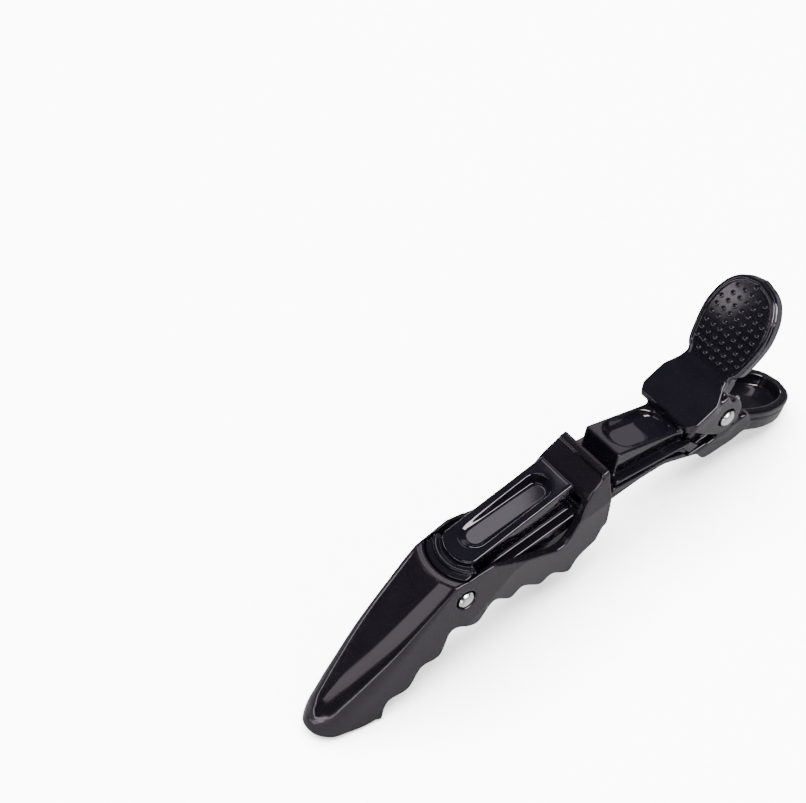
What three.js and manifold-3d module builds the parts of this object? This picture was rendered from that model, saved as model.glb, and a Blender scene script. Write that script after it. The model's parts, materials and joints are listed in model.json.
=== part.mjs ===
// A double-hinged sectioning clip for hair, resting closed on a table.
// Millimetres. +X runs from the jaws to the handles, +Y across the clip, +Z up.
// The origin is on the table, under the middle of the clip's length.
// Side outlines are drawn from the jaw pin, as [x behind the jaw pin, height above the table].

import * as THREE from 'three';
import { mergeVertices } from 'three/addons/utils/BufferGeometryUtils.js';
import Module from 'manifold-3d';

const wasm = await Module();
wasm.setup();

// Driving dimensions
const MIDDLE_FROM_JAW_PIN = 25.1;
const JAW_PIN_AT = [0, 18.7];
const MAIN_PIN_AT = [59.7, 17.5];
const PIN_RADIUS = 1.6;
const PIN_CLEARANCE = 0.3;
const JAW_HALF_WIDTH = 7;
const JAW_WALL = 1.4;
const CAP_SLOPE = 32.5;
const CAP_TAPER = 3.6;
const COLLAR_CENTRE_X = 6.4;
const CAP_COLLAR_RADIUS = 8.4;
const ARM_FRONT_HALF_WIDTH = JAW_HALF_WIDTH - JAW_WALL - 0.4;
const PANEL_HALF_WIDTH = 4;
const FLANK_HALF_WIDTH = 3.4;
const FLANK_FROM = 3.4;
const SLOT_HALF_WIDTH = 2.2;
const SLOT_FROM = 7.2;
const SLOT_TO = 20.6;
const BLOCK_HALF_WIDTH = 4.2;
const SKIRT_HALF_WIDTH = 5.7;
const PAD_HALF_WIDTH = 6.8;
const LUG_INSIDE = 4.6;
const LUG_OUTSIDE = 6.4;
const LUG_RADIUS = 3.9;
const EAR_INSIDE = 2.9;
const EAR_OUTSIDE = 4.2;
const EAR_RADIUS = 3.6;
const LOWER_BAR_HALF_WIDTH = 3;
const MOULDED_WALL = 1.4;
const PADDLE_START = [59.4, 25.4];
const PADDLE_SLOPE = THREE.MathUtils.degToRad(51);
const PADDLE_HALF_WIDTH = 7;
const PADDLE_LENGTH = 19;
const PADDLE_DEPTH = 3.4;
const TRAY_START = [61.5, 14.8];
const TRAY_SLOPE = THREE.MathUtils.degToRad(-28.5);
const TRAY_HALF_WIDTH = 6.4;
const TRAY_LENGTH = 22.6;
const TRAY_DEPTH = 4;
const SPRING_WIRE_RADIUS = 0.45;
const SPRING_COIL_RADIUS = 2.9;
const SPRING_TURNS = 3;
const SPRING_PITCH = 1.25;
const SPRING_LEG = 9;
const SPRING_LOWER_LEG = THREE.MathUtils.degToRad(-16);
const SPRING_UPPER_LEG = THREE.MathUtils.degToRad(36);
const THROUGH = 100; // long enough to cut right through the clip

const gloss = { color: '#121115', roughness: 0.22, metalness: 0 };
const satin = { color: '#17161a', roughness: 0.38, metalness: 0 };
const steel = { color: '#c9cbd0', roughness: 0.25, metalness: 1 };

// Solids and meshes
function solid(geometry) {
  const bare = geometry.index ? geometry.toNonIndexed() : geometry.clone();
  bare.deleteAttribute('normal');
  bare.deleteAttribute('uv');
  const merged = mergeVertices(bare, 1e-5);
  const mesh = new wasm.Mesh({
    numProp: 3,
    vertProperties: new Float32Array(merged.attributes.position.array),
    triVerts: new Uint32Array(merged.index.array),
  });
  mesh.merge();
  return new wasm.Manifold(mesh);
}

function piece(name, body, look) {
  const { numProp, vertProperties, triVerts } = body.getMesh();
  const positions = new Float32Array((vertProperties.length / numProp) * 3);
  for (let i = 0; i < positions.length / 3; i += 1) {
    positions.set(vertProperties.subarray(i * numProp, i * numProp + 3), i * 3);
  }
  const geometry = new THREE.BufferGeometry();
  geometry.setAttribute('position', new THREE.BufferAttribute(positions, 3));
  geometry.setIndex(new THREE.BufferAttribute(new Uint32Array(triVerts), 1));
  geometry.computeVertexNormals();
  const mesh = new THREE.Mesh(geometry, new THREE.MeshStandardMaterial(look));
  mesh.name = name;
  return mesh;
}

function toVector([x, y]) {
  return new THREE.Vector2(x, y);
}

function outline(points) {
  return new THREE.Shape(points.map(toVector));
}

// A side outline (x, z) made into a slab between two places across the clip.
function slab(shape, from, to, segments = 10) {
  const geometry = new THREE.ExtrudeGeometry(shape, {
    depth: to - from, bevelEnabled: false, curveSegments: segments,
  });
  geometry.rotateX(Math.PI / 2);
  geometry.translate(0, to, 0);
  return solid(geometry);
}

function sideSlab(points, halfWidth) {
  return slab(outline(points), -halfWidth, halfWidth);
}

// Two like slabs, one on each side of the clip's middle plane.
function sidePair(shape, inside, outside, segments) {
  return slab(shape, inside, outside, segments).add(slab(shape, -outside, -inside, segments));
}

// A plan outline (x, y) made into a column between two heights.
function column(shape, bottom, top, segments = 14) {
  const geometry = new THREE.ExtrudeGeometry(shape, {
    depth: top - bottom, bevelEnabled: false, curveSegments: segments,
  });
  geometry.translate(0, 0, bottom);
  return solid(geometry);
}

// A cross-section (y, z) drawn out between two places along the clip.
function beam(points, from, to) {
  const geometry = new THREE.ExtrudeGeometry(outline(points), {
    depth: to - from, bevelEnabled: false,
  });
  const across = new THREE.Vector3(0, 1, 0);
  const up = new THREE.Vector3(0, 0, 1);
  const along = new THREE.Vector3(1, 0, 0);
  geometry.applyMatrix4(new THREE.Matrix4().makeBasis(across, up, along));
  geometry.translate(from, 0, 0);
  return solid(geometry);
}

function disc([x, z], radius) {
  const shape = new THREE.Shape();
  shape.absarc(x, z, radius, 0, 2 * Math.PI, false);
  return shape;
}

function pinSolid(at, halfLength, radius = PIN_RADIUS) {
  return slab(disc(at, radius), -halfLength, halfLength, 20);
}

// A flat-bottomed plate outline: straight sides that widen, then a round end.
function handlePlan(neck, widest, length) {
  const shape = new THREE.Shape();
  shape.moveTo(0, -neck);
  shape.lineTo(1.4, -neck);
  shape.bezierCurveTo(length * 0.22, -widest * 0.95, length * 0.4, -widest, length * 0.52, -widest);
  shape.bezierCurveTo(length * 0.84, -widest, length, -widest * 0.56, length, 0);
  shape.bezierCurveTo(length, widest * 0.56, length * 0.84, widest, length * 0.52, widest);
  shape.bezierCurveTo(length * 0.4, widest, length * 0.22, widest * 0.95, 1.4, neck);
  shape.lineTo(0, neck);
  return shape;
}

// A handle: a plate with a rim, open on the side away from the fingers.
function handle(plan, innerPlan, depth, floor, openUp, start, slope) {
  const outer = new THREE.ExtrudeGeometry(plan, { depth, bevelEnabled: false, curveSegments: 9 });
  const inner = new THREE.ExtrudeGeometry(innerPlan, { depth, bevelEnabled: false, curveSegments: 9 });
  outer.translate(0, 0, -depth);
  inner.translate(2.2, 0, openUp ? floor - depth : -depth - floor);
  const place = new THREE.Matrix4().makeRotationY(-slope);
  place.setPosition(start[0], 0, start[1]);
  outer.applyMatrix4(place);
  inner.applyMatrix4(place);
  return solid(outer).subtract(solid(inner));
}

// The jaw's wavy lower edge, from the front tooth to the rear corner.
const JAW_TEETH = [
  [-19.2, 0.4], [-17.4, 4.2], [-13.4, 5], [-10.4, 8.4], [-6.6, 8.8], [-3.4, 13.2], [1.4, 10.8],
  [5.2, 13.8], [8.8, 11], [11.6, 11.8], [15.4, 8.6], [18.2, 9], [22, 6], [24.4, 8.2], [28.4, 9.6],
];

function jawSide() {
  const shape = new THREE.Shape();
  shape.moveTo(-28.4, 1.2);
  shape.lineTo(-22, 0.4);
  shape.splineThru(JAW_TEETH.map(([x, z]) => new THREE.Vector2(x, z)));
  shape.quadraticCurveTo(31.6, 15, 32, 23);
  shape.lineTo(32.2, 25.4);
  shape.lineTo(31.2, 25.5);
  shape.lineTo(26.8, 22.9);
  shape.lineTo(23.6, 17.6);
  shape.quadraticCurveTo(20.4, 13.8, 15.4, 17.6);
  shape.lineTo(4.4, 24);
  shape.quadraticCurveTo(1.6, 25.6, -1, 24.8);
  shape.lineTo(-28.6, 7.2);
  shape.quadraticCurveTo(-32.6, 4.4, -30.6, 2);
  return shape;
}

// Seen from above: straight walls that draw in to a round nose.
function jawPlan(inset) {
  const w = JAW_HALF_WIDTH - inset;
  const nose = inset - 31.2;
  const shape = new THREE.Shape();
  shape.moveTo(36, -w);
  shape.lineTo(36, w);
  shape.lineTo(-4, w);
  shape.lineTo(-21, w - 1.4);
  shape.bezierCurveTo(-27, w - 2.2, nose, w * 0.42, nose, 0);
  shape.bezierCurveTo(nose, -w * 0.42, -27, 2.2 - w, -21, 1.4 - w);
  shape.lineTo(-4, -w);
  return shape;
}

// The draft of a side wall: one face below the cap's sloping top, one beside the bridge.
function wallDraft(side) {
  const mirror = (corners) => {
    const turned = corners.map(([y, z]) => [y * side, z]);
    return side > 0 ? turned : turned.reverse();
  };
  const front = beam(mirror([[3.7, 1], [9, 1], [9, -12], [6.3, -12]]), -2, 44)
    .rotate([0, -CAP_SLOPE, 0])
    .rotate([0, 0, side * CAP_TAPER])
    .translate([-31, 0, 5.9]);
  const rear = beam(mirror([[5.6, 26.2], [9, 26.2], [9, 18.8], [JAW_HALF_WIDTH, 18.8]]), 12, 36);
  return front.add(rear);
}

function upperJaw() {
  const inside = JAW_HALF_WIDTH - JAW_WALL;
  const hollow = [
    [-36, -1], [-36, 1.6], [-27.4, 6], [-1.8, 22.4], [6, 22.4], [6, 29], [26.3, 29], [26.4, 21.6],
    [36, 23.8], [36, -1],
  ];
  const collar = new THREE.Shape();
  collar.absarc(COLLAR_CENTRE_X, 0, CAP_COLLAR_RADIUS, 0, 2 * Math.PI, false);
  const collarCut = column(collar, 16, 30, 16).intersect(sideSlab(
    [[-4, 14], [-4, 29], [15, 29], [15, 14]], inside,
  ));
  return slab(jawSide(), -JAW_HALF_WIDTH, JAW_HALF_WIDTH, 4)
    .intersect(column(jawPlan(0), -1, 30, 7))
    .subtract(wallDraft(1))
    .subtract(wallDraft(-1))
    .subtract(sideSlab(hollow, inside).intersect(column(jawPlan(JAW_WALL), -2, 30, 7)))
    .subtract(collarCut)
    .subtract(pinSolid(JAW_PIN_AT, JAW_HALF_WIDTH + 1, PIN_RADIUS + PIN_CLEARANCE));
}

// The arm's front: a stepped nose in the cap's collar, a slotted panel, then a low valley.
function armFront() {
  const side = sideSlab([
    [-1.2, 15.6], [-1.2, 22.8], [0.4, 22.9], [0.5, 23.4], [2, 23.5], [2.2, 24], [25.2, 26.2],
    [26, 19], [34.6, 19], [34.6, 16.8], [26, 16], [12, 16.2], [4, 15.4],
  ], ARM_FRONT_HALF_WIDTH);
  const flank = outline([
    [FLANK_FROM, 19.2], [FLANK_FROM, 23], [26, 23.6], [26, 19.2],
  ]);
  const besidePanel = outline([[-2, 23.4], [-2, 30], [30, 30], [30, 23.4]]);
  const nose = new THREE.Shape();
  nose.moveTo(36, -ARM_FRONT_HALF_WIDTH);
  nose.lineTo(36, ARM_FRONT_HALF_WIDTH);
  nose.lineTo(1.4, ARM_FRONT_HALF_WIDTH);
  nose.quadraticCurveTo(-1.2, ARM_FRONT_HALF_WIDTH * 0.6, -1.2, 0);
  nose.quadraticCurveTo(-1.2, -ARM_FRONT_HALF_WIDTH * 0.6, 1.4, -ARM_FRONT_HALF_WIDTH);
  const slot = new THREE.Shape();
  slot.absarc(SLOT_FROM, 0, SLOT_HALF_WIDTH, Math.PI / 2, -Math.PI / 2, false);
  slot.absarc(SLOT_TO, 0, SLOT_HALF_WIDTH, -Math.PI / 2, Math.PI / 2, false);
  const slotDepth = sideSlab([[4, 22.8], [4, 30], [26, 30], [26, 25]], SLOT_HALF_WIDTH);
  const underside = [[5, 12], [5, 20], [24.6, 22], [24.6, 12]];
  const railRoom = outline([[32.6, 10], [32.6, 19.6], [36, 19.6], [36, 10]]);
  return side.intersect(column(nose, 8, 30, 8))
    .subtract(sidePair(besidePanel, PANEL_HALF_WIDTH, THROUGH))
    .subtract(sidePair(flank, FLANK_HALF_WIDTH, THROUGH))
    .add(slab(disc(JAW_PIN_AT, 3), -ARM_FRONT_HALF_WIDTH, ARM_FRONT_HALF_WIDTH, 14))
    .subtract(column(slot, 17.6, 30, 8).intersect(slotDepth))
    .subtract(sideSlab(underside, FLANK_HALF_WIDTH - 1))
    .subtract(sidePair(railRoom, BLOCK_HALF_WIDTH, THROUGH));
}

// The arm's middle: a dished block on a skirt, with the smooth pad behind it.
function armMiddle() {
  const block = sideSlab([
    [33.4, 17], [34.4, 21], [35.6, 25.4], [51, 19], [51, 16], [40, 16.6],
  ], BLOCK_HALF_WIDTH);
  const skirt = sideSlab(
    [[33.6, 19.9], [34, 20.8], [51.6, 16.7], [54, 13.6], [51.6, 13.4], [50, 16.2]], SKIRT_HALF_WIDTH,
  );
  const padPlan = outline([
    [50, -5.7], [51.6, -PAD_HALF_WIDTH], [56.6, -PAD_HALF_WIDTH], [59.6, -5], [62.4, -5],
    [62.4, 5], [59.6, 5], [56.6, PAD_HALF_WIDTH], [51.6, PAD_HALF_WIDTH], [50, 5.7],
  ]);
  const pad = sideSlab([
    [50, 20.4], [50, 21.9], [57.6, 24.1], [59.6, 25.7], [62.4, 23.4], [61, 21.4], [56, 20.8],
  ], PAD_HALF_WIDTH).intersect(column(padPlan, 5, 30));
  const padCore = sideSlab([
    [50, 16.4], [50, 21.4], [57.6, 23.6], [62.4, 23.4], [60, 19.6], [52.6, 16.4],
  ], BLOCK_HALF_WIDTH);
  const dish = new THREE.Shape();
  dish.absellipse(43.6, 0, 6, 3, 0, 2 * Math.PI, false, 0);
  const dishFloor = sideSlab([[34, 24.6], [34, 30], [54, 30], [54, 16.4]], BLOCK_HALF_WIDTH);
  return block.add(skirt).add(pad).add(padCore)
    .subtract(column(dish, 10, 30, 10).intersect(dishFloor));
}

function lugSide() {
  const shape = new THREE.Shape();
  shape.moveTo(50.8, 20.8);
  shape.lineTo(55, 16.4);
  shape.absarc(MAIN_PIN_AT[0], MAIN_PIN_AT[1], LUG_RADIUS, -2.2, 1.3, false);
  shape.lineTo(59.8, 23.4);
  shape.lineTo(57, 22.8);
  return shape;
}

function upperArm() {
  const hingeRoom = [
    [32, 8], [32, 17], [36, 19], [50, 15.4], [51.8, 19.4], [57, 22.2], [59.6, 23], [61, 23],
    [65.4, 28.8], [69, 27], [64, 8],
  ];
  const paddle = handle(
    handlePlan(4.6, PADDLE_HALF_WIDTH, PADDLE_LENGTH),
    handlePlan(4.6 - MOULDED_WALL, PADDLE_HALF_WIDTH - MOULDED_WALL, PADDLE_LENGTH - 3.8),
    PADDLE_DEPTH, MOULDED_WALL, false, PADDLE_START, PADDLE_SLOPE,
  );
  return armFront()
    .add(armMiddle())
    .add(sidePair(lugSide(), LUG_INSIDE, LUG_OUTSIDE, 7))
    .add(paddle)
    .subtract(sideSlab(hingeRoom, LUG_INSIDE))
    .subtract(pinSolid(JAW_PIN_AT, THROUGH, PIN_RADIUS + PIN_CLEARANCE))
    .subtract(pinSolid(MAIN_PIN_AT, THROUGH, PIN_RADIUS + PIN_CLEARANCE));
}

// The lower lever: a slim toothed jaw, ears for the main pin, side rails, hips and a handle.
function lowerBar() {
  const bar = new THREE.Shape();
  bar.moveTo(-26.2, 1);
  bar.lineTo(-24.6, 0);
  bar.lineTo(-9.6, 0);
  bar.splineThru([[-3, 5.6], [4, 6.8], [14, 8.4], [24, 9.6], [36, 10.8]].map(toVector));
  bar.lineTo(53, 10.6);
  bar.lineTo(57, 8.8);
  bar.lineTo(62, 9);
  bar.lineTo(62, 11.6);
  bar.lineTo(53, 14);
  bar.lineTo(30, 13.6);
  const ridge = [];
  for (let x = 24; x >= -24; x -= 2) {
    const arch = 12.6 - 0.0042 * (x - 24) ** 2;
    ridge.push([x, arch + 0.5 * Math.cos((x * Math.PI) / 4)]);
  }
  bar.splineThru(ridge.map(toVector));
  return slab(bar, -LOWER_BAR_HALF_WIDTH, LOWER_BAR_HALF_WIDTH, 1);
}

function lowerLever() {
  const [pinX, pinZ] = MAIN_PIN_AT;
  const ear = new THREE.Shape();
  ear.moveTo(50, 11);
  ear.lineTo(50, 13.6);
  ear.lineTo(pinX - 3.2, pinZ + 1.6);
  ear.absarc(pinX, pinZ, EAR_RADIUS, 2.6, 0, true);
  ear.lineTo(66, 11);
  ear.lineTo(62, 9.4);
  ear.lineTo(56, 9.4);
  const hip = outline([[53.2, 12.2], [55.3, 8.3], [63.6, 7.5], [67, 9], [66, 12.8]]);
  const rail = outline([
    [33, 18], [33.2, 19.2], [39.6, 17.8], [45.4, 16.9], [50.4, 14.2], [51.2, 12.8], [56, 12.6],
    [56, 10], [53.2, 11.4], [50.2, 13], [45.4, 15.6], [39.6, 16.4],
  ]);
  const tray = handle(
    handlePlan(5.9, TRAY_HALF_WIDTH, TRAY_LENGTH),
    handlePlan(5.9 - MOULDED_WALL, TRAY_HALF_WIDTH - MOULDED_WALL, TRAY_LENGTH - 3.8),
    TRAY_DEPTH, MOULDED_WALL, true, TRAY_START, TRAY_SLOPE,
  );
  const lugRoom = sidePair(disc(MAIN_PIN_AT, LUG_RADIUS + 0.4), LUG_INSIDE - 0.3, THROUGH, 16);
  const springRoom = sideSlab(
    [[53, 14.6], [53, 24], [66, 24], [66, 9.8], [62, 11.6], [58, 12.2]], EAR_INSIDE,
  );
  return lowerBar()
    .add(sidePair(ear, EAR_INSIDE, EAR_OUTSIDE, 8))
    .add(sidePair(hip, EAR_OUTSIDE - 1, SKIRT_HALF_WIDTH + 0.2, 2).add(tray).subtract(lugRoom))
    .add(sidePair(rail, BLOCK_HALF_WIDTH + 0.4, SKIRT_HALF_WIDTH))
    .subtract(springRoom)
    .subtract(pinSolid(MAIN_PIN_AT, EAR_OUTSIDE + 1, PIN_RADIUS + PIN_CLEARANCE));
}

// Steel wire: a leg in the lower handle, turns round the main pin, a leg under the thumb paddle.
class SpringPath extends THREE.Curve {
  getPoint(t, target = new THREE.Vector3()) {
    const turn = 2 * Math.PI * SPRING_TURNS + (SPRING_LOWER_LEG - SPRING_UPPER_LEG) + Math.PI;
    const coilLength = turn * SPRING_COIL_RADIUS;
    const along = t * (coilLength + 2 * SPRING_LEG);
    const wound = Math.min(Math.max(along - SPRING_LEG, 0), coilLength) / coilLength;
    const angle = SPRING_LOWER_LEG - Math.PI / 2 - wound * turn;
    const lowerSpare = Math.max(SPRING_LEG - along, 0);
    const upperSpare = Math.max(along - SPRING_LEG - coilLength, 0);
    const spare = lowerSpare - upperSpare;
    const x = SPRING_COIL_RADIUS * Math.cos(angle) - spare * Math.sin(angle);
    const z = SPRING_COIL_RADIUS * Math.sin(angle) + spare * Math.cos(angle);
    const y = SPRING_PITCH * SPRING_TURNS * (wound - 0.5);
    return target.set(MAIN_PIN_AT[0] + x, y, MAIN_PIN_AT[1] + z);
  }
}

function torsionSpring() {
  const wire = new THREE.Shape();
  wire.absarc(0, 0, SPRING_WIRE_RADIUS, 0, 2 * Math.PI, false);
  const geometry = new THREE.ExtrudeGeometry(wire, {
    steps: 100, extrudePath: new SpringPath(), curveSegments: 3, bevelEnabled: false,
  });
  return solid(geometry);
}

const clip = new THREE.Group();
clip.position.x = -MIDDLE_FROM_JAW_PIN;
clip.add(
  piece('upper_arm', upperArm(), gloss),
  piece('upper_jaw', upperJaw(), gloss),
  piece('lower_lever', lowerLever(), satin),
  piece('hinge_pin', pinSolid(MAIN_PIN_AT, LUG_OUTSIDE + 0.5), steel),
  piece('jaw_pin', pinSolid(JAW_PIN_AT, JAW_HALF_WIDTH - 0.6), steel),
  piece('torsion_spring', torsionSpring(), steel),
);

export default clip;
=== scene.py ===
"""Looks for the double-hinged sectioning clip.

The mouldings are built as distance fields on a grid and turned into smooth meshes, so that every
edge gets a moulded round. Outlines are in millimetres from the jaw pin along x, from the clip's
middle plane across y, and from the table up z. Rounded outlines list [along, up, corner length].
"""

import itertools
import json
import math

import bpy
import numpy as np
from mathutils import Matrix, Vector

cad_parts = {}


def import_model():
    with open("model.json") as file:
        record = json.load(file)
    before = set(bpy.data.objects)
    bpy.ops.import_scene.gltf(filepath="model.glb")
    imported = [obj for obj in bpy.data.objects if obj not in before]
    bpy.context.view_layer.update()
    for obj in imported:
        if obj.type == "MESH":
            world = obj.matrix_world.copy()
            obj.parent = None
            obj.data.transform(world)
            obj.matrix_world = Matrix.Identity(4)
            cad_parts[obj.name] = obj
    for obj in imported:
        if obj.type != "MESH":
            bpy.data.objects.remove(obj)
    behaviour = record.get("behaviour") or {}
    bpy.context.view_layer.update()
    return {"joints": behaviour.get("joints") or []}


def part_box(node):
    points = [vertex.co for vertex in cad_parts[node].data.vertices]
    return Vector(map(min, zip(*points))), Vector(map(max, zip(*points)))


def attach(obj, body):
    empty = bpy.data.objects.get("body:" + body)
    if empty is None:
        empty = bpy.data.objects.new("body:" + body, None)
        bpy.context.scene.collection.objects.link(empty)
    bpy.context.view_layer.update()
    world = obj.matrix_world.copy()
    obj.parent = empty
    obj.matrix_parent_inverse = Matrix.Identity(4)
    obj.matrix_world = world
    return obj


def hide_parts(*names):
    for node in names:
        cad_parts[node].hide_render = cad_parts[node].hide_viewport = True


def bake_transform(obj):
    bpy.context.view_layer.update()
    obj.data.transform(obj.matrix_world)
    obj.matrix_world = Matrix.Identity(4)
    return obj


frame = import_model()
JOINTS = {joint["name"]: Vector(joint["pos_m"]) * 1000 for joint in frame["joints"]}
JAW_PIN = JOINTS["jaw_rock"]
MAIN_PIN = JOINTS["main_hinge"] - Vector((JAW_PIN.x, 0, 0))
JAW_PIN_AT = (0, JAW_PIN.z)
MAIN_PIN_AT = (MAIN_PIN.x, MAIN_PIN.z)

FLOOR_IN_GLOSS = 0.08
FAR_FLOOR_IN_GLOSS = 1.0
BACKDROP_TO_CLIP = 0.04
BACKDROP_TO_CAMERA = 9
STEP = 0.2
EDGE = 0.35
FILLET = 0.6

PIN_RADIUS = 1.6
PIN_HOLE = 1.9
JAW_HALF_WIDTH = 7.0
JAW_WALL = 1.4
CAP_SLOPE = math.radians(32.5)
COLLAR_X = 6.4
COLLAR_RADIUS = 8.4
ARM_HALF_WIDTH = 5.2
BOSS_RADIUS = 3.0
FLANK_HALF_WIDTH = 3.4
NECK_HALF_WIDTH = 4.85
JAW_CLEARANCE = 0.3
PANEL_HALF_WIDTH = 4.0
SLOT_ENDS = (7.2, 20.6)
SLOT_FLOOR_HALF_WIDTH = 1.9
SLOT_BEVEL = 0.7
BLOCK_HALF_WIDTH = 4.2
SKIRT_HALF_WIDTH = 5.7
PAD_HALF_WIDTH = 6.8
LUG_SIDES = (4.6, 6.4)
LUG_RADIUS = 3.9
EAR_SIDES = (2.9, 4.2)
NUB_PITCH = 1.65
NUB_PROFILE = [(0.5, -0.3), (0.5, 0.02), (0.47, 0.14), (0.4, 0.24), (0.3, 0.29), (0.18, 0.3)]
THUMB_RECESS = 0.35
PADDLE = {"start": (59.4, 25.4), "slope": math.radians(51), "length": 19.0, "half": 7.0, "neck": 5.0}
SPRING = {"wire": 0.45, "radius": 2.9, "turns": 3, "pitch": 1.25, "leg": 9.0,
          "lower": math.radians(-16), "upper": math.radians(36)}
TRAY = {"start": (61.5, 14.8), "slope": math.radians(-28.5), "length": 22.6, "half": 6.4, "neck": 5.9}

JAW_TEETH = [
    (-19.2, 0.4), (-17.4, 4.2), (-13.4, 5.0), (-10.4, 8.4), (-6.6, 8.8), (-3.4, 13.2),
    (1.4, 10.8), (5.2, 13.8), (8.8, 11.0), (11.6, 11.8), (15.4, 8.6), (18.2, 9.0),
    (22.0, 6.0), (24.4, 8.2), (28.4, 9.6),
]


# Outlines
def rounded(points):
    """A closed outline from [x, y, corner length] rows; each corner becomes a short curve."""
    path = []
    for before, (x, y, size), after in zip(points[-1:] + points[:-1], points, points[1:] + points[:1]):
        corner = np.array((x, y))
        ends = []
        for other in (before, after):
            way = np.array(other[:2]) - corner
            reach = np.linalg.norm(way)
            ends.append(corner + way * min(size / reach, 0.49))
        steps = np.linspace(0, 1, 7) if size else [0.5]
        for t in steps:
            path.append((1 - t) ** 2 * ends[0] + 2 * t * (1 - t) * corner + t * t * ends[1])
    return path


def spline(points, steps=7):
    """A smooth open curve through the points."""
    rows = [np.array(p, float) for p in points]
    rows = [2 * rows[0] - rows[1]] + rows + [2 * rows[-1] - rows[-2]]
    path = []
    for a, b, c, d in zip(rows, rows[1:], rows[2:], rows[3:]):
        for t in np.linspace(0, 1, steps, endpoint=False):
            path.append(0.5 * (2 * b + (c - a) * t + (2 * a - 5 * b + 4 * c - d) * t * t
                               + (3 * b - a - 3 * c + d) * t ** 3))
    return path + [rows[-2]]


def polygon(px, py, points):
    """Signed distance from a closed outline, negative inside."""
    nearest = np.inf
    inside = False
    for (x0, y0), (x1, y1) in zip(points, list(points[1:]) + [points[0]]):
        run, rise = x1 - x0, y1 - y0
        length = run * run + rise * rise
        if length < 1e-12:
            continue
        wx, wy = px - x0, py - y0
        t = np.clip((wx * run + wy * rise) / length, 0, 1)
        nearest = np.minimum(nearest, (wx - run * t) ** 2 + (wy - rise * t) ** 2)
        crosses = (y0 <= py) != (y1 <= py)
        inside = inside ^ (crosses & ((wx * rise < wy * run) == (rise > 0)))
    return np.where(inside, -1, 1) * np.sqrt(nearest)


# Fields: below zero inside the body
def join(a, b, fillet=FILLET):
    bend = np.hypot(np.maximum(fillet - a, 0), np.maximum(fillet - b, 0))
    return np.maximum(fillet, np.minimum(a, b)) - bend


def meet(a, b, edge=EDGE):
    bend = np.hypot(np.maximum(edge + a, 0), np.maximum(edge + b, 0))
    return np.minimum(-edge, np.maximum(a, b)) + bend


def cut(a, b, edge=EDGE):
    return meet(a, -b, edge)


class Space:
    """The grid points round one CAD node, in the outlines' own millimetres."""

    def __init__(self, node):
        low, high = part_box(node)
        first = Vector(low) * 1000 - Vector((JAW_PIN.x, 0, 0))
        last = Vector(high) * 1000 - Vector((JAW_PIN.x, 0, 0))
        axes = [np.arange(a - 4 * STEP, b + 4 * STEP, STEP) for a, b in zip(first, last)]
        self.start = np.array([axis[0] for axis in axes])
        self.x = axes[0][:, None, None]
        self.y = axes[1][None, :, None]
        self.z = axes[2][None, None, :]

    def side(self, points):
        return polygon(self.x, self.z, points)

    def plan(self, points):
        return polygon(self.x, self.y, points)

    def within(self, half_width):
        return np.abs(self.y) - half_width

    def pair(self, sides):
        return np.abs(np.abs(self.y) - sum(sides) / 2) - (sides[1] - sides[0]) / 2

    def rod(self, centre, radius):
        return np.hypot(self.x - centre[0], self.z - centre[1]) - radius

    def tilted(self, handle):
        """How far along the handle, and how far above its face, each point is."""
        dx, dz = self.x - handle["start"][0], self.z - handle["start"][1]
        c, s = math.cos(handle["slope"]), math.sin(handle["slope"])
        return dx * c + dz * s, dz * c - dx * s


def surface(field):
    """Vertices, in grid steps, and quads of the surface where the field is zero."""
    inside = field < 0
    shape = np.array(field.shape) - 1
    corners = [inside[i:i + shape[0], j:j + shape[1], k:k + shape[2]]
               for i, j, k in itertools.product((0, 1), repeat=3)]
    mixed = np.logical_or.reduce(corners) & ~np.logical_and.reduce(corners)
    cells = np.argwhere(mixed)
    index = np.full(mixed.shape, -1)
    index[mixed] = np.arange(len(cells))
    total = np.zeros((len(cells), 3))
    count = np.zeros(len(cells))
    for axis in range(3):
        along = np.eye(3, dtype=int)[axis]
        for p, q in itertools.product((0, 1), repeat=2):
            offset = np.insert((p, q), axis, 0)
            a = field[tuple((cells + offset).T)]
            b = field[tuple((cells + offset + along).T)]
            crossed = (a < 0) != (b < 0)
            share = np.where(crossed, a / np.where(crossed, a - b, 1), 0)
            total += crossed[:, None] * (offset + share[:, None] * along)
            count += crossed
    points = cells + total / count[:, None]
    quads = []
    for axis in range(3):
        first, second = [a for a in range(3) if a != axis]
        low = np.moveaxis(inside, axis, 0)[:-1]
        high = np.moveaxis(inside, axis, 0)[1:]
        changed = np.argwhere(np.moveaxis(low != high, 0, axis))
        changed = changed[(changed[:, first] > 0) & (changed[:, second] > 0)]
        changed = changed[(changed < shape).all(axis=1)]
        u, v = np.eye(3, dtype=int)[first], np.eye(3, dtype=int)[second]
        ring = [index[tuple((changed - step).T)] for step in (0 * u, u, u + v, v)]
        ring = np.stack(ring, axis=1)
        flip = inside[tuple(changed.T)] == (axis == 1)
        ring[flip] = ring[flip, ::-1]
        quads.append(ring)
    return points, np.concatenate(quads)


def sample(grid, points):
    """The grid's value at points between its nodes."""
    base = np.clip(np.floor(points).astype(int), 0, np.array(grid.shape) - 2)
    share = points - base
    value = 0
    for corner in itertools.product((0, 1), repeat=3):
        weight = np.prod(np.where(corner, share, 1 - share), axis=1)
        value = value + weight * grid[tuple((base + corner).T)]
    return value


def add_mesh(name, points, faces, normals=None):
    """A smooth-shaded object from points in the outlines' millimetres."""
    world = (np.asarray(points) + (JAW_PIN.x, 0, 0)) / 1000
    mesh = bpy.data.meshes.new(name)
    mesh.from_pydata(world.tolist(), [], faces)
    mesh.shade_smooth()
    if normals is not None:
        mesh.normals_split_custom_set_from_vertices(normals.tolist())
    made = bpy.data.objects.new(name, mesh)
    bpy.context.scene.collection.objects.link(made)
    return made


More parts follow.
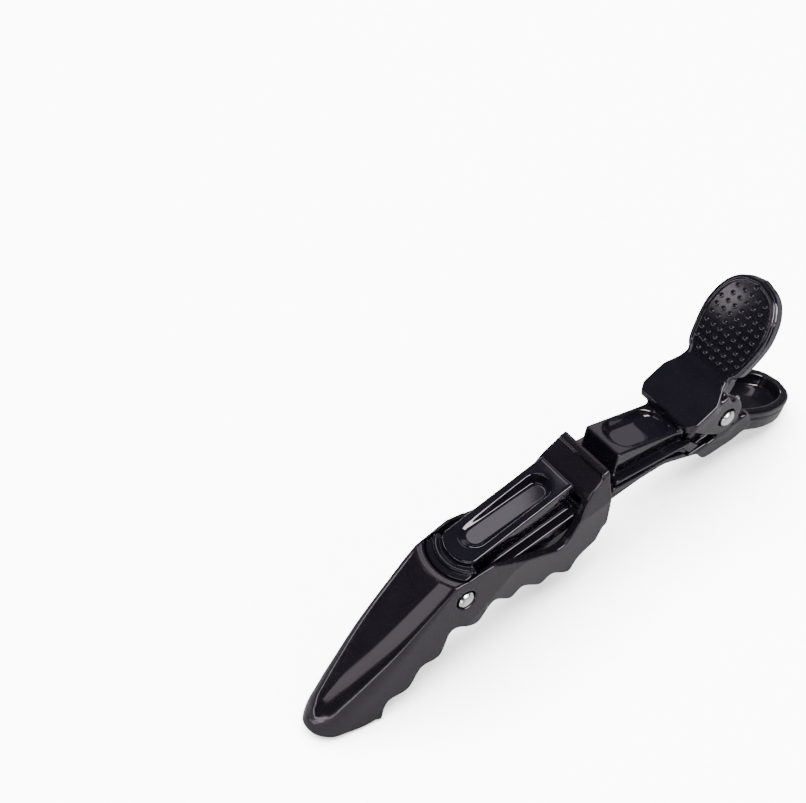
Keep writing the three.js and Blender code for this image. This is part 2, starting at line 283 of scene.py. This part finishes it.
def moulding(name, space, field):
    """The field's surface as an object, with vertices and normals taken from the field itself."""
    points, quads = surface(field)
    slopes = np.gradient(field)
    for _ in range(2):
        slope = np.stack([sample(part, points) for part in slopes], axis=1)
        steep = np.maximum((slope ** 2).sum(axis=1), 1e-9)
        move = (sample(field, points) / steep)[:, None] * slope
        points = points - np.clip(move, -0.5, 0.5)
    slope = np.stack([sample(part, points) for part in slopes], axis=1)
    normals = slope / np.maximum(np.linalg.norm(slope, axis=1), 1e-9)[:, None]
    return add_mesh(name, space.start + points * STEP, quads.tolist(), normals)


# The upper jaw
def jaw_nose(inset):
    """The jaw's plan: straight walls that draw in to a round nose."""
    w = JAW_HALF_WIDTH - inset
    near = [(-4, -w), (-14, -w + 0.3), (-21, -w + 1.1), (-25, -w + 1.7), (-28.6, -w + 2.5),
            (inset - 31.4, -2.4), (inset - 32.2, 0)]
    curve = spline(near)
    return [(60, -w)] + curve + [(x, -y) for x, y in reversed(curve)] + [(60, w)]


def jaw_walls(space):
    """The jaw's drafted side walls, and how far below the cap's sloping plane each point is."""
    cap_height = 7.2 + (space.x + 28.6) * math.tan(CAP_SLOPE)
    front = (space.z - cap_height + 13) * 0.12
    rear = np.where(space.x > 10, (space.z - 18.8) * 0.19, 0)
    walls = space.plan(jaw_nose(0)) + np.maximum(np.maximum(front, rear), 0)
    return walls, (cap_height - space.z) * math.cos(CAP_SLOPE)


def jaw_crown(space, walls, below_cap):
    """The cap's section: a soft round from its top, a steep bevel, then the side wall."""
    back = np.clip((space.x + 28) / 25, 0, 1)
    bevel = walls * math.sin(0.96) - below_cap * math.cos(0.96) + 0.9 - 0.1 * back
    top = meet(-below_cap, bevel, 4.0 - 2.4 * back)
    return meet(top, walls, 2.6 - 2.4 * back)


def upper_jaw():
    space = Space("upper_jaw")
    inside = JAW_HALF_WIDTH - JAW_WALL
    lower = spline(JAW_TEETH)
    rest = rounded([
        [31.0, 12.4, 1], [31.9, 19, 2], [32.2, 25.2, 0.5], [31.3, 25.3, 0.4], [26.9, 22.9, 1.6],
        [23.6, 17.6, 2.4], [20.4, 14.6, 2.8], [15.4, 17.6, 2.4], [4.4, 24, 2], [1.4, 25.6, 1.6],
        [-1.6, 25.6, 1], [-28.6, 8.4, 3], [-32.2, 5.2, 1.6], [-30.9, 2, 1.8], [-28, 1.1, 1],
        [-22, 0.5, 1.6],
    ])
    walls, below_cap = jaw_walls(space)
    outer = meet(space.side(lower + rest), jaw_crown(space, walls, below_cap))
    hollow = space.side([
        (-36, -1), (-36, 1.6), (-27.4, 5.4), (-1.8, 21.6), (6, 22), (6, 30), (26.3, 30), (26.4, 21.6),
        (36, 23.8), (36, -1),
    ])
    lining = meet(walls + JAW_WALL, space.plan(jaw_nose(JAW_WALL)), 0.6)
    body = cut(outer, meet(hollow, lining, 0.4), 0.3)
    ring = np.hypot(space.x - COLLAR_X, space.y)
    level = meet(ring - COLLAR_RADIUS - 1.2, np.maximum(23.0 - space.z, space.x - 12), 0.15)
    well = meet(ring - COLLAR_RADIUS + 0.3, np.maximum(15 - space.z, space.x - 12), 0.15)
    body = cut(cut(body, level, 0.2), meet(well, space.within(inside), 0.2), 0.2)
    lip = meet(space.side(rounded([
        [30.6, 24, 0], [30.7, 25.6, 0.3], [32.2, 25.8, 0.3], [32.3, 24, 0],
    ])), walls + 0.1, 0.3)
    body = join(body, lip, 0.15)
    boss_room = meet(space.rod(JAW_PIN_AT, BOSS_RADIUS + JAW_CLEARANCE),
                     space.within(ARM_HALF_WIDTH + 0.25))
    body = cut(body, boss_room, 0.1)
    body = cut(body, space.rod(JAW_PIN_AT, PIN_HOLE), 0.25)
    return moulding("clip_upper_jaw", space, body)


# The arm
def stadium(space, ends, half_width):
    """Distance from a round-ended strip along the clip, seen from above."""
    beyond = np.maximum(np.maximum(ends[0] - space.x, space.x - ends[1]), 0)
    return np.hypot(beyond, space.y) - half_width


def panel_slot(space):
    """The slot's pocket: a level floor, and a bevelled wall that widens up to the panel."""
    floor = 23.8 + (space.x - 4) * 0.01
    top = 24.0 + (space.x - 2) * 0.092
    share = np.clip((space.z - floor) / (top - floor), 0, 1.3)
    wall = stadium(space, SLOT_ENDS, SLOT_FLOOR_HALF_WIDTH + share * SLOT_BEVEL) * 0.7
    return meet(wall, floor - space.z, 0.15)


def arm_front(space):
    ring = np.hypot(space.x - COLLAR_X, space.y)
    behind = np.minimum(ring - 7.7, COLLAR_X - space.x)
    base = meet(space.side(rounded([
        [-1.6, 15.6, 0.6], [-1.6, 22.7, 0.4], [2.6, 22.9, 0.2], [25.4, 23, 0.5], [26.2, 18.7, 1],
        [34.6, 18.7, 0], [34.6, 16.8, 0], [26, 16, 1], [12, 16.2, 1], [4, 15.4, 1],
    ])), behind, 0.2)
    base = meet(base, space.within(ARM_HALF_WIDTH), 0.3)
    flank = meet(space.side([(3.4, 19.2), (3.4, 30), (25.6, 30), (25.6, 19.2)]),
                 FLANK_HALF_WIDTH - np.abs(space.y), 0.2)
    base = cut(base, flank, 0.3)
    beside_neck = meet(space.side([(25.9, 15), (25.9, 24), (34.6, 24), (34.6, 15)]),
                       NECK_HALF_WIDTH - np.abs(space.y), 0.1)
    base = cut(base, beside_neck, 0.1)
    rib = meet(np.abs(ring - 6.1) - 0.45, np.maximum(space.z - 23.35, 20 - space.z), 0.15)
    rib = meet(rib, np.maximum(space.within(ARM_HALF_WIDTH), space.x - 2.6), 0.2)
    panel = space.side(rounded([
        [1.2, 22.3, 0], [1.6, 23.7, 0.5], [2.4, 24.15, 0.6], [25.4, 26.2, 0.5], [25.9, 23.6, 0.5],
    ]))
    front = np.minimum(ring - 5.0, COLLAR_X - space.x)
    panel = meet(meet(panel, front, 0.5), space.within(PANEL_HALF_WIDTH), 0.4)
    body = join(join(base, rib, 0.15), panel, 0.25)
    collar = meet(space.rod(JAW_PIN_AT, BOSS_RADIUS), space.within(ARM_HALF_WIDTH))
    body = join(body, collar)
    body = cut(body, panel_slot(space), 0.2)
    under = meet(space.side([(5, 10), (5, 20), (24.6, 22), (24.6, 10)]), space.within(2.4), 0.4)
    body = cut(body, under, 0.3)
    rail_room = meet(space.side([(32.6, 8), (32.6, 19.6), (36, 19.6), (36, 8)]),
                     BLOCK_HALF_WIDTH - np.abs(space.y), 0.2)
    return cut(body, rail_room, 0.2)


def arm_middle(space):
    block = meet(space.side(rounded([
        [33.6, 17, 0.4], [34.4, 21, 0.6], [35.5, 25.6, 0.5], [51, 19.2, 0.4], [51, 16, 0], [40, 16.6, 1],
    ])), space.within(BLOCK_HALF_WIDTH), 0.3)
    skirt = meet(space.side(rounded([
        [33.6, 19.9, 0.3], [34, 20.8, 0.3], [51.6, 16.7, 0.3], [54, 13.6, 0.6], [51.6, 13.4, 0.4],
        [50, 16.2, 0.5],
    ])), space.within(SKIRT_HALF_WIDTH), 0.2)
    corners = [[50.0, 5.7, 0.15], [51.6, PAD_HALF_WIDTH, 0.5], [56.5, PAD_HALF_WIDTH, 0.7],
               [59.6, 5.0, 0.8], [62.4, 5.0, 0]]
    mirrored = [[x, -y, size] for x, y, size in reversed(corners)]
    pad_plan = space.plan(rounded(corners + mirrored))
    pad = meet(space.side(rounded([
        [50, 20.4, 0.2], [50, 21.9, 0], [57.4, 24.1, 1.6], [59.8, 26, 1], [62.4, 23.6, 0],
        [61, 21.4, 0], [56, 20.8, 0],
    ])), pad_plan, 0.45)
    core = meet(space.side([
        (50, 16.4), (50, 21.4), (57.6, 23.6), (62.4, 23.4), (60, 19.6), (52.6, 16.4),
    ]), space.within(BLOCK_HALF_WIDTH), 0.3)
    body = join(join(block, skirt, 0.15), join(pad, core, 0.2), 0.3)
    depth = (space.z - 20.6) + (space.x - 44) * 0.41
    oval = stadium(space, (40.4, 46.8), 2.7 + np.clip(depth, 0, 1.4) * 0.55) * 0.85
    return cut(body, meet(oval, -depth, 0.5), 0.25)


def handle_plan(handle, along, y, inset):
    """Signed distance, in the handle's own plane, from its outline drawn in by inset."""
    length, half, neck = handle["length"] - inset, handle["half"] - inset, handle["neck"] - inset
    edge = spline([(-2, neck), (1.2, neck), (length * 0.16, half * 0.86), (length * 0.42, half * 0.99),
                   (length * 0.6, half * 0.99), (length * 0.8, half * 0.84), (length * 0.94, half * 0.52),
                   (length, 0)], 5)
    return polygon(along, y, edge + [(x, -w) for x, w in reversed(edge)])


def grip_nubs():
    """Flat-topped round nubs in a square lattice all over the thumb face."""
    c, s = math.cos(PADDLE["slope"]), math.sin(PADDLE["slope"])
    forward, across, up = np.array((c, 0, s)), np.array((0, 1.0, 0)), np.array((-s, 0, c))
    start = np.array((PADDLE["start"][0], 0, PADDLE["start"][1]))
    points, faces = [], []
    for along in np.arange(2.6, PADDLE["length"], NUB_PITCH):
        for y in np.arange(-4, 5) * NUB_PITCH:
            if handle_plan(PADDLE, np.array(along), np.array(y), 0) > -1.3:
                continue
            base = start + along * forward + y * across - THUMB_RECESS * min((along + 1) / 5, 1) * up
            rings = [(base + height * up, radius, forward, across) for radius, height in NUB_PROFILE]
            more_points, more_faces = ring_body(rings, 16)
            faces += [tuple(i + len(points) for i in face) for face in more_faces]
            points += more_points
    return add_mesh("clip_grip_nubs", points, faces)


def paddle_field(space):
    along, above = space.tilted(PADDLE)
    outline = handle_plan(PADDLE, along, space.y, 0)
    slab = np.maximum(above, -3.4 - above)
    body = meet(outline, slab, 0.4)
    groove = meet(np.abs(above + 1.0) - 0.2, -0.25 - outline, 0.05)
    body = cut(body, groove, 0.1)
    recess = THUMB_RECESS * np.clip((along + 1) / 5, 0, 1)
    body = cut(body, meet(outline + 0.7, -recess - above, 0.15), 0.15)
    under = meet(outline + 1.4, np.maximum(above + 1.75, 2.2 - along), 0.4)
    return cut(body, under, 0.3)


def lug_outline():
    arc = [(MAIN_PIN.x + LUG_RADIUS * math.cos(a), MAIN_PIN.z + LUG_RADIUS * math.sin(a))
           for a in np.linspace(-2.2, 1.3, 15)]
    return [(50.8, 20.8), (55, 16.4)] + arc + [(59.8, 23.4), (57, 22.8)]


def upper_arm():
    space = Space("upper_arm")
    body = join(arm_front(space), arm_middle(space), 0.5)
    lugs = meet(space.side(lug_outline()), space.pair(LUG_SIDES), 0.4)
    body = join(body, lugs, 0.5)
    body = join(body, paddle_field(space), 0.5)
    room = meet(space.side(rounded([
        [32, 8, 0], [32, 17, 0.5], [36, 19, 1], [50, 15.4, 1], [51.8, 19.4, 1], [57, 22.2, 1],
        [59.6, 23, 0.5], [61, 23, 0.5], [65.4, 28.8, 0], [69, 27, 0], [64, 8, 0],
    ])), space.within(LUG_SIDES[0]), 0.3)
    body = cut(body, room, 0.3)
    body = cut(body, space.rod(JAW_PIN_AT, PIN_HOLE), 0.15)
    body = cut(body, space.rod(MAIN_PIN_AT, PIN_HOLE), 0.25)
    return moulding("clip_upper_arm", space, body)


# The lower lever
def lower_bar(space):
    under = spline([(-9.6, 0), (-3, 5.6), (4, 6.8), (14, 8.4), (24, 9.6), (36, 10.8)])
    heights = [(x, 12.6 - 0.0042 * (x - 24) ** 2 + 0.5 * math.cos(x * math.pi / 4))
               for x in np.arange(24, -25, -1)]
    outline = ([(-26.2, 1), (-24.6, 0)] + under + [(53, 10.6), (57, 8.8), (62, 9), (62, 11.6), (53, 14),
               (30, 13.6)] + heights)
    return meet(space.side(outline), space.within(3), 0.4)


def tray_field(space):
    along, above = space.tilted(TRAY)
    outline = handle_plan(TRAY, along, space.y, 0)
    body = meet(outline, np.maximum(above, -4 - above), 0.4)
    well = meet(outline + 1.8, np.maximum(-2.6 - above, 2.0 - along), 0.6)
    groove = meet(np.abs(above + 1.3) - 0.2, -0.3 - outline, 0.05)
    return cut(cut(body, well, 0.3), groove, 0.1)


def lower_lever():
    space = Space("lower_lever")
    ear = np.array([(50, 11), (50, 13.6), (MAIN_PIN.x - 3.2, MAIN_PIN.z + 1.6)])
    arc = [(MAIN_PIN.x + 3.6 * math.cos(a), MAIN_PIN.z + 3.6 * math.sin(a))
           for a in np.linspace(2.6, 0, 13)]
    ears = meet(space.side(ear.tolist() + arc + [(66, 11), (62, 9.4), (56, 9.4)]),
                space.pair(EAR_SIDES), 0.3)
    hips = meet(space.side(rounded([
        [53.2, 12.2, 0.6], [55.3, 8.3, 1.2], [63.6, 7.5, 2], [67, 9, 1], [66, 12.8, 0.5],
    ])), space.pair((EAR_SIDES[1] - 1, SKIRT_HALF_WIDTH + 0.2)), 0.4)
    rails = meet(space.side(rounded([
        [33, 18, 0.3], [33.2, 19.2, 0.3], [39.6, 17.8, 1], [45.4, 16.9, 1], [50.4, 14.2, 1],
        [51.2, 12.8, 0.5], [56, 12.6, 0], [56, 10, 0], [53.2, 11.4, 1], [50.2, 13, 1], [45.4, 15.6, 1],
        [39.6, 16.4, 1],
    ])), space.pair((BLOCK_HALF_WIDTH + 0.4, SKIRT_HALF_WIDTH)), 0.25)
    back = join(hips, tray_field(space), 0.5)
    lug_room = meet(space.rod(MAIN_PIN_AT, LUG_RADIUS + 0.4), LUG_SIDES[0] - 0.3 - np.abs(space.y), 0.2)
    back = join(cut(back, lug_room, 0.2), rails, 0.3)
    body = join(join(lower_bar(space), ears, 0.4), back, 0.4)
    room = meet(space.side([(53, 14.6), (53, 24), (66, 24), (66, 9.8), (62, 11.6), (58, 12.2)]),
                space.within(EAR_SIDES[0]), 0.3)
    body = cut(body, room, 0.3)
    body = cut(body, space.rod(MAIN_PIN_AT, PIN_HOLE), 0.15)
    return moulding("clip_lower_lever", space, body)


# Steel parts
def ring_body(rings, sides):
    """Points and faces of a closed body through rings of (place, radius, first way, second way)."""
    points, faces = [], []
    for place, radius, first, second in rings:
        for a in np.linspace(0, 2 * math.pi, sides, endpoint=False):
            points.append(place + radius * (math.cos(a) * first + math.sin(a) * second))
    for ring in range(len(rings) - 1):
        for k in range(sides):
            near, far = ring * sides + k, ring * sides + (k + 1) % sides
            faces.append((near, far, far + sides, near + sides))
    faces.append(tuple(range(sides - 1, -1, -1)))
    faces.append(tuple(range((len(rings) - 1) * sides, len(rings) * sides)))
    return points, faces


def round_body(name, rings, sides=40, sharp=40):
    """A ring body as an object, creased where its faces turn by more than sharp degrees."""
    made = add_mesh(name, *ring_body(rings, sides))
    made.data.set_sharp_from_angle(angle=math.radians(sharp))
    return made


def pin(name, centre, half_length):
    """A steel pin across the clip, with a small chamfer and a shallow dimple at each end."""
    x, z = centre
    profile = [(half_length - 0.18, 0.6), (half_length, 0.9), (half_length, PIN_RADIUS - 0.25),
               (half_length - 0.25, PIN_RADIUS)]
    profile += [(-y, radius) for y, radius in reversed(profile)]
    across, up = np.array((1.0, 0, 0)), np.array((0, 0, 1.0))
    return round_body(name, [(np.array((x, y, z)), radius, across, up) for y, radius in profile])


def spring_path():
    """The wire's middle line: a straight leg, the turns round the main pin, a second leg."""
    turn = 2 * math.pi * SPRING["turns"] + SPRING["lower"] - SPRING["upper"] + math.pi
    coil = turn * SPRING["radius"]
    path = []
    for along in np.linspace(0, coil + 2 * SPRING["leg"], 420):
        wound = min(max(along - SPRING["leg"], 0), coil) / coil
        angle = SPRING["lower"] - math.pi / 2 - wound * turn
        spare = max(SPRING["leg"] - along, 0) - max(along - SPRING["leg"] - coil, 0)
        path.append((
            MAIN_PIN_AT[0] + SPRING["radius"] * math.cos(angle) - spare * math.sin(angle),
            SPRING["pitch"] * SPRING["turns"] * (wound - 0.5),
            MAIN_PIN_AT[1] + SPRING["radius"] * math.sin(angle) + spare * math.cos(angle),
        ))
    return np.array(path)


def torsion_spring():
    path = spring_path()
    ways = np.gradient(path, axis=0)
    rings = []
    for place, way in zip(path, ways):
        first = np.cross(way, (0, 1, 0))
        first /= np.linalg.norm(first)
        second = np.cross(first, way / np.linalg.norm(way))
        rings.append((place, SPRING["wire"], first, second))
    return round_body("clip_spring", rings, sides=14)


# Materials
class Finish:
    """A material under construction; add() makes a node and wires or sets its inputs."""

    def __init__(self, name):
        self.material = bpy.data.materials.new(name)
        self.material.use_nodes = True
        self.tree = self.material.node_tree
        self.shader = self.tree.nodes["Principled BSDF"]
        self.place = self.add("ShaderNodeTexCoord").outputs["Object"]

    def add(self, kind, settings=None, **inputs):
        node = self.tree.nodes.new(kind)
        for key, value in (settings or {}).items():
            setattr(node, key, value)
        self.wire(node, inputs)
        return node

    def wire(self, node, inputs):
        for key, value in inputs.items():
            socket = node.inputs[int(key[1:])] if key[0] == "_" else node.inputs[key.replace("_", " ")]
            if isinstance(value, bpy.types.NodeSocket):
                self.tree.links.new(value, socket)
            else:
                socket.default_value = value

    def noise(self, scale, detail=3.0, stretch=(1, 1, 1)):
        place = self.add("ShaderNodeMapping", Vector=self.place, Scale=stretch)
        node = self.add("ShaderNodeTexNoise", Vector=place.outputs[0], Scale=scale, Detail=detail)
        return node.outputs["Fac"]

    def spread(self, value, low, high, to_low, to_high):
        node = self.add("ShaderNodeMapRange", _0=value, _1=low, _2=high, _3=to_low, _4=to_high)
        return node.outputs[0]

    def sum(self, a, b):
        return self.add("ShaderNodeMath", {"operation": "ADD"}, _0=a, _1=b).outputs[0]

    def mix(self, share, a, b):
        node = self.add("ShaderNodeMixRGB", Fac=share, Color1=a, Color2=b)
        return node.outputs[0]

    def bump(self, height, strength, distance):
        node = self.add("ShaderNodeBump", Height=height, Strength=strength, Distance=distance)
        self.wire(self.shader, {"Normal": node.outputs[0]})


def plastic(name, color, roughness, scuff):
    """Moulded gloss plastic: faint mottling, fine handling marks in the gloss, paler worn edges."""
    finish = Finish(name)
    mottle = finish.noise(180, 4)
    grime = finish.noise(45, 5)
    scratches = finish.noise(900, 2, (0.12, 1, 1))
    worn = finish.spread(finish.add("ShaderNodeNewGeometry").outputs["Pointiness"], 0.56, 0.66, 0, scuff)
    mottled = finish.spread(mottle, 0.35, 0.7, 0, 0.5)
    base = finish.mix(mottled, (*color, 1), (*[c * 1.7 for c in color], 1))
    base = finish.mix(worn, base, (*[c + 0.012 for c in color], 1))
    rough = finish.sum(finish.spread(scratches, 0.62, 0.72, 0, 0.02), finish.spread(grime, 0.3, 0.7, 0, 0.03))
    finish.wire(finish.shader, {
        "Base Color": base, "Roughness": finish.sum(rough, roughness), "IOR": 1.5,
        "Specular Tint": (1.0, 0.91, 1.02, 1),
    })
    finish.bump(finish.noise(260, 2), 0.008, 0.0002)
    return finish.material


def drawn_steel(name, color, roughness, stretch):
    """Bright drawn steel with fine lines along the draw."""
    finish = Finish(name)
    lines = finish.noise(1500, 3, stretch)
    stain = finish.noise(250, 4)
    stained = finish.spread(stain, 0.4, 0.7, 0, 0.6)
    base = finish.mix(stained, (*color, 1), (*[c * 0.82 for c in color], 1))
    finish.wire(finish.shader, {
        "Base Color": base, "Metallic": 1.0,
        "Roughness": finish.spread(lines, 0.3, 0.7, roughness, roughness + 0.18),
    })
    finish.bump(lines, 0.15, 0.0002)
    return finish.material


def table_paper(name):
    """The plain pale floor. Reflections see it dim round the clip and bright far beyond the jaws."""
    finish = Finish(name)
    tooth = finish.noise(400, 4)
    paper = finish.mix(finish.spread(tooth, 0.3, 0.7, 0, 1), (0.9, 0.9, 0.91, 1), (0.93, 0.93, 0.93, 1))
    spot = finish.add("ShaderNodeSeparateXYZ", Vector=finish.place)
    near = finish.spread(spot.outputs["Y"], -0.01, 0.03, FLOOR_IN_GLOSS, FLOOR_IN_GLOSS * 0.3)
    far = finish.spread(spot.outputs["X"], -0.12, -0.25, 0, FAR_FLOOR_IN_GLOSS)
    level = finish.sum(near, far)
    dim = finish.add("ShaderNodeCombineColor", Red=level, Green=level, Blue=level).outputs[0]
    seen_in_gloss = finish.add("ShaderNodeLightPath").outputs["Is Glossy Ray"]
    finish.wire(finish.shader, {
        "Base Color": finish.mix(seen_in_gloss, paper, dim), "Roughness": 0.8, "Specular IOR Level": 0.0,
    })
    return finish.material


# The stage
def softbox(name, toward, distance, size, radiance, seen_in_gloss=True):
    """An area light of the given size in metres, in a direction from the clip, facing it."""
    light = bpy.data.lights.new(name, "AREA")
    light.shape = "RECTANGLE"
    light.size, light.size_y = size
    light.energy = radiance * math.pi * size[0] * size[1]
    made = bpy.data.objects.new(name, light)
    way = Vector(toward).normalized()
    made.location = Vector((0, 0, 0.015)) + way * distance
    made.rotation_mode = "QUATERNION"
    made.rotation_quaternion = way.to_track_quat("Z", "Y")
    made.visible_glossy = seen_in_gloss
    bpy.context.scene.collection.objects.link(made)


def floor():
    bpy.ops.mesh.primitive_plane_add(size=4)
    made = bpy.context.object
    made.name = "floor"
    made.data.materials.append(table_paper("table_paper"))


def camera():
    """A long lens above the jaws' near side, rolled a little, so that the clip lies low right."""
    azimuth, elevation, roll = math.radians(34.94), math.radians(52.36), math.radians(-4.64)
    right = Vector((math.cos(azimuth), -math.sin(azimuth), 0))
    back = Vector((-math.sin(azimuth) * math.cos(elevation), -math.cos(azimuth) * math.cos(elevation),
                   math.sin(elevation)))
    up = back.cross(right)
    turned_right = right * math.cos(roll) + up * math.sin(roll)
    turned_up = up * math.cos(roll) - right * math.sin(roll)
    made = bpy.data.objects.new("camera", bpy.data.cameras.new("camera"))
    made.data.lens, made.data.sensor_width = 86.32, 36
    made.data.clip_start = 0.01
    made.matrix_world = Matrix((turned_right, turned_up, back)).transposed().to_4x4()
    made.location = (-0.1284, -0.1403, 0.2932)
    bpy.context.scene.collection.objects.link(made)
    bpy.context.scene.camera = made


def world():
    """The backdrop: pale to the camera, nearly dark to the clip."""
    made = bpy.data.worlds.new("studio")
    made.use_nodes = True
    nodes, links = made.node_tree.nodes, made.node_tree.links
    strength = nodes.new("ShaderNodeMapRange")
    strength.inputs["To Min"].default_value = BACKDROP_TO_CLIP
    strength.inputs["To Max"].default_value = BACKDROP_TO_CAMERA
    links.new(nodes.new("ShaderNodeLightPath").outputs["Is Camera Ray"], strength.inputs["Value"])
    nodes["Background"].inputs["Color"].default_value = (0.9, 0.9, 1, 1)
    links.new(strength.outputs[0], nodes["Background"].inputs["Strength"])
    bpy.context.scene.world = made


def dress(piece, material, body, node):
    piece.data.materials.append(material)
    if body:
        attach(piece, body)
    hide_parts(node)


arm_black = plastic("arm_black", (0.0011, 0.001, 0.0016), 0.05, 0.5)
jaw_black = plastic("jaw_black", (0.0013, 0.0011, 0.0016), 0.1, 0.4)
lever_black = plastic("lever_black", (0.0012, 0.0011, 0.0016), 0.12, 0.4)
pin_steel = drawn_steel("pin_steel", (0.92, 0.92, 0.94), 0.1, (1, 0.03, 1))
spring_steel = drawn_steel("spring_steel", (0.62, 0.62, 0.64), 0.2, (0.2, 1, 0.2))

dress(upper_arm(), arm_black, "upper_arm", "upper_arm")
dress(grip_nubs(), arm_black, "upper_arm", "upper_arm")
dress(upper_jaw(), jaw_black, "upper_jaw", "upper_jaw")
dress(lower_lever(), lever_black, "lower_lever", "lower_lever")
dress(pin("clip_hinge_pin", MAIN_PIN_AT, 6.9), pin_steel, "lower_lever", "hinge_pin")
dress(pin("clip_jaw_pin", JAW_PIN_AT, 6.4), pin_steel, "upper_arm", "jaw_pin")
spring = torsion_spring()
dress(spring, spring_steel, None, "torsion_spring")
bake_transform(spring)

softbox("overhead", (0.05, 0.2, 1), 1.2, (1.6, 1.6), 32, seen_in_gloss=False)
softbox("slot_light", (0.298, 0.432, 0.851), 0.505, (0.043, 0.06), 3.2)
softbox("ledge_light", (0.7, 0.42, 0.58), 0.5, (0.1, 0.1), 1.6)
softbox("paddle_light", (-0.807, 0.449, 0.384), 0.574, (0.014, 0.014), 5.4)
softbox("rear_strip", (0.85, 0.42, 0.32), 0.5, (0.2, 0.14), 0.9)
softbox("front_left", (-0.6, -0.27, 0.65), 0.6, (0.5, 0.34), 2.2)
softbox("near_strip", (0.22, -0.77, 0.56), 0.6, (0.55, 0.2), 24)
softbox("far_strip", (0.4, 0.9, 0.12), 0.6, (0.5, 0.08), 11)
world()
floor()
camera()
